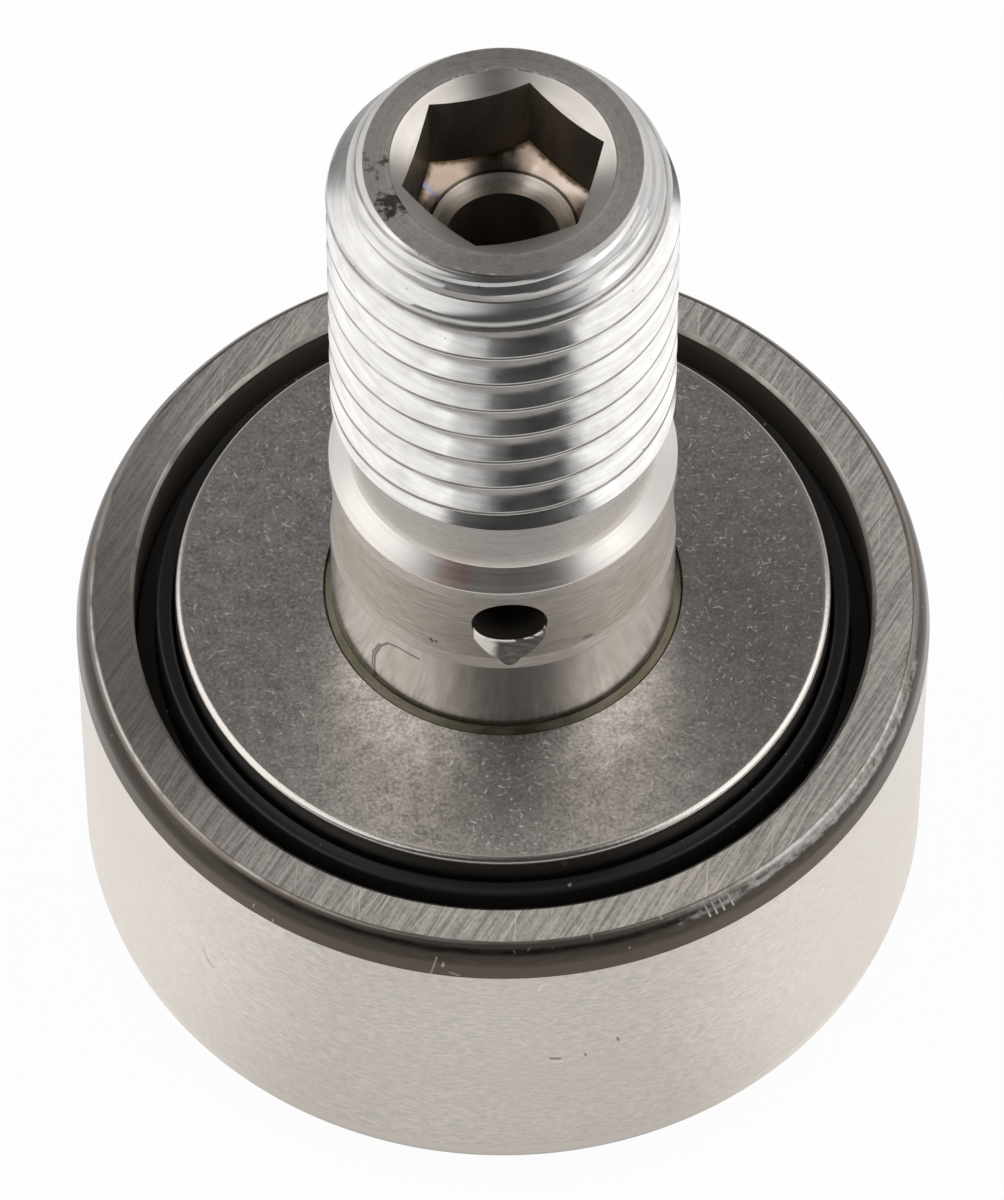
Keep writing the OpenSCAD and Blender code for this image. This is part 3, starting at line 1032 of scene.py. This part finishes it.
def scoop_steel():
    """Cut under the grease hole: bare on its left, with a painted dark reflection on the rest and a painted
    highlight along the hole's edge.
    """
    paint = Paint("scoop_steel", Metallic=1.0)
    wall = paint.unrolled(shank_r)
    chatter = paint.noise((1.5, 5.0, 1.0), detail=3, at=wall)
    across = paint.calc("MULTIPLY_ADD", chatter, 0.3, paint.calc("MULTIPLY", paint.around(), shank_r))
    # Painted reflection: dark from about the middle rightwards, where the cut would mirror the dark room in
    # front; the dark tones below carry it.
    painted_dark_reflection = paint.ease(across, -0.35, 0.05)
    grease = paint.mix(paint.ease(chatter, 0.35, 0.75), tone(0.08, 0.12), tone(0.17, 0.1))
    paint.base(painted_dark_reflection, tone(0.66), grease)
    # Painted highlight: a bright broken line along the lower edge of the hole.
    away = paint.vector("DISTANCE", paint.point(paint.x, z=paint.z), (0, 0, hole_z))
    edge = paint.both(paint.ease(away, hole_r + 0.03, hole_r + 0.12, 1, 0), paint.ease(chatter, 0.4, 0.55))
    paint.coat(edge, tone(0.8))
    return paint.finish(paint.level(painted_dark_reflection, 0.22, 0.3))


def dark_bore(name, low, high, rough=0.45):
    """Dark wall of a hole or socket, with marks along the axis."""
    paint = Paint(name, Metallic=0.8)
    draw = paint.noise((1.2, 1.2, 0.3), detail=2)
    paint.base(draw, tone(low, 0.16), tone(high, 0.16))
    return paint.finish(paint.ease(draw, 0.3, 0.7, rough * 0.8, rough * 1.2))


def needle_steel():
    """Lapped needle."""
    paint = Paint("needle_steel", Metallic=1.0)
    line = paint.noise((8.0, 8.0, 0.6), detail=2)
    paint.base(line, tone(0.62), tone(0.72))
    return paint.finish(paint.ease(line, 0.3, 0.7, 0.1, 0.18))


def put_on(piece, *materials):
    """Gives a piece these materials in place of its own."""
    if len(piece.data.materials):
        piece.data.materials.clear()
    for material in materials:
        piece.data.materials.append(material)


def stand_for(piece, node, body):
    """Shows a piece in place of a node, on its body."""
    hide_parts(node)
    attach(piece, body)


# Pieces
stud = stud_body()
cut(stud, stud_cutters())
smooth(stud)
stud_materials = {
    "shank": shank_steel(),
    "oil": oily_steel("stud_oil"),
    "groove": groove_steel(),
    "land": turned_steel("land_steel", 0.70, 0.80, 0.26, depth=0.002, spread=0.6),
    "cone": turned_steel("cone_steel", 0.66, 0.76, 0.33, depth=0.002, warm=0.05, patch=(-23, -11, 3)),
    "neck": turned_steel("neck_steel", 0.68, 0.77, 0.26, depth=0.002, warm=0.05, spread=0.6),
    "thread": thread_steel(),
    "end_face": end_face_steel(),
    "countersink": turned_steel("countersink_steel", 0.49, 0.59, 0.32),
    "hex_wall": dark_bore("hex_wall_steel", 0.20, 0.32, 0.26),
    "hex_floor": hex_floor_steel(),
    "bore_seat": turned_steel("bore_seat_steel", 0.52, 0.64, 0.28, warm=0.1),
    "bore": dark_bore("bore_steel", 0.2, 0.3),
    # Painted shade: the grease holes' walls are near black, for the shade deep inside them.
    "hole": dark_bore("hole_steel", 0.07, 0.12),
    "scoop": scoop_steel(),
    "head": turned_steel("head_steel", 0.44, 0.54, 0.3),
}
put_on(stud, *(stud_materials[zone] for zone in STUD_ZONES))
mark_zones(stud)
stand_for(stud, "roller_stud", "stud")

washer = turned("washer", washer_outline())
smooth(washer)
put_on(washer, washer_steel(), oily_steel("washer_oil"))
stand_for(washer, "side_washer", "stud")

ring = turned("ring", ring_outline())
smooth(ring)
race_steel = turned_steel("race_steel", 0.5, 0.6, 0.2)
put_on(ring, race_steel, recess_scale(), mouth_steel(), face_steel(), corner_scale(), tread_steel())
stand_for(ring, "outer_ring", "ring")

black = seal_black()
for node, side in (("stud_seal", 1), ("head_seal", -1)):
    lip = turned(node.replace("seal", "lip_seal"), seal_outline(side))
    smooth(lip)
    put_on(lip, black)
    stand_for(lip, node, "ring")

needle_finish = needle_steel()
cage_finish = cage_plastic()
for name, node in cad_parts.items():
    if name.startswith("needle_"):
        put_on(node, cage_finish if name == "needle_cage" else needle_finish)

# Camera, aimed so that the middle of the washer's face lands where the photograph shows it
PHOTO_W, PHOTO_H = 1004, 1200
focal_px = 10442.15
distance = 0.365542
elevation = math.radians(55.956)
target = Vector((0, 0, washer_z1 * MM))
target_px = (503.018, 584.711)
back = toward * math.cos(elevation) + Vector((0, 0, math.sin(elevation)))
up = back.cross(right)
per_px = distance / focal_px
shift_px = (target_px[0] - PHOTO_W / 2, target_px[1] - PHOTO_H / 2)
aim = target - right * shift_px[0] * per_px + up * shift_px[1] * per_px
camera = bpy.data.objects.new("camera", bpy.data.cameras.new("camera"))
bpy.context.scene.collection.objects.link(camera)
camera.data.sensor_width = 36
camera.data.lens = focal_px / PHOTO_H * camera.data.sensor_width
camera.data.clip_start = 0.01
camera.location = target + back * distance
camera.rotation_mode = "QUATERNION"
camera.rotation_quaternion = (aim - camera.location).to_track_quat("-Z", "Y")
bpy.context.scene.camera = camera


# Floor and light
floor_drop = 0.02
LAMP_REACH = 0.7


def floor_piece(radius, camera_share, front_share, side_share, right_lead):
    """Pale floor that keeps shadows and glows white behind the object; its glow in reflections is painted
    light, brightest beside the object and dim in front of and behind it.

    It lets the head be seen from below."""
    bm = bmesh.new()
    bmesh.ops.create_circle(bm, cap_ends=True, segments=FLOOR_SIDES, radius=radius / MM)
    floor = mesh_piece("floor", bm)
    floor.location.z = -floor_drop * MM
    material = bpy.data.materials.new("floor")
    material.use_nodes = True
    kit = Nodes(material.node_tree)
    kit.tree.nodes.remove(kit.tree.nodes["Principled BSDF"])
    diffuse = kit.put("ShaderNodeBsdfDiffuse", Color=(0.9, 0.895, 0.885, 1)).outputs[0]
    glow = kit.put("ShaderNodeEmission", Strength=1.0).outputs[0]
    clear = kit.put("ShaderNodeBsdfTransparent").outputs[0]
    rays = kit.put("ShaderNodeLightPath").outputs
    way = kit.vector("NORMALIZE", kit.put("ShaderNodeTexCoord").outputs["Object"])
    side = kit.vector("DOT_PRODUCT", way, right)
    aside = kit.most(kit.both(side, right_lead), kit.both(side, -1.0))
    seen = kit.both(rays["Is Glossy Ray"], kit.ease(aside, 0.45, 0.95, front_share, side_share))
    seen = kit.calc("MULTIPLY_ADD", rays["Is Camera Ray"], camera_share, seen)
    seen = kit.calc("MULTIPLY_ADD", rays["Is Transmission Ray"], camera_share, seen)
    top = kit.feed(kit.put("ShaderNodeMixShader"), (seen, diffuse, glow))
    below = kit.put("ShaderNodeNewGeometry").outputs["Backfacing"]
    surface = kit.feed(kit.put("ShaderNodeMixShader"), (below, top, clear))
    kit.join(surface, kit.tree.nodes["Material Output"].inputs["Surface"])
    put_on(floor, material)


def softbox(name, azimuth, height, width, tall, radiance, roll=0):
    """Area lamp that faces the object, placed by azimuth from the camera and height, in degrees, and rolled."""
    lamp = bpy.data.lights.new(name, "AREA")
    lamp.shape = "RECTANGLE"
    lamp.size = width
    lamp.size_y = tall
    lamp.energy = radiance * math.pi * width * tall
    box = bpy.data.objects.new(name, lamp)
    bpy.context.scene.collection.objects.link(box)
    a, e = math.radians(azimuth), math.radians(height)
    way = (toward * math.cos(a) + right * math.sin(a)) * math.cos(e) + Vector((0, 0, math.sin(e)))
    box.location = target + way * LAMP_REACH
    box.rotation_mode = "QUATERNION"
    box.rotation_quaternion = way.to_track_quat("Z", "Y") @ Quaternion(AXIS, math.radians(roll))
    box.visible_camera = False


def studio_world(front, rear, horizon):
    """Grey room that is darker on the camera's side, with a pale band at the horizon."""
    world = bpy.data.worlds.new("studio")
    world.use_nodes = True
    kit = Nodes(world.node_tree)
    way = kit.put("ShaderNodeTexCoord").outputs["Generated"]
    ahead = kit.ease(kit.vector("DOT_PRODUCT", way, toward), -0.4, 0.35)
    rise = kit.ease(kit.vector("DOT_PRODUCT", way, AXIS), 0.02, 0.16)
    sky = kit.mix(rise, horizon, kit.mix(ahead, rear, front))
    kit.join(sky, kit.tree.nodes["Background"].inputs["Color"])
    bpy.context.scene.world = world


floor_piece(3.0, camera_share=0.96, front_share=0.36, side_share=1.0, right_lead=1.12)
softbox("left_softbox", -90, 38, 0.97, 0.9, 1.25, roll=-20)
softbox("right_softbox", 95, 42, 0.775, 0.75, 1.4)
softbox("front_right_softbox", 58, 25, 0.3, 0.3, 1.2)
softbox("front_left_softbox", -38, 62, 0.17, 0.24, 0.8)
studio_world(tone(0.05, 0.02), tone(0.19, 0.02), tone(0.85, 0.0))
bpy.context.scene.view_settings.view_transform = "Standard"
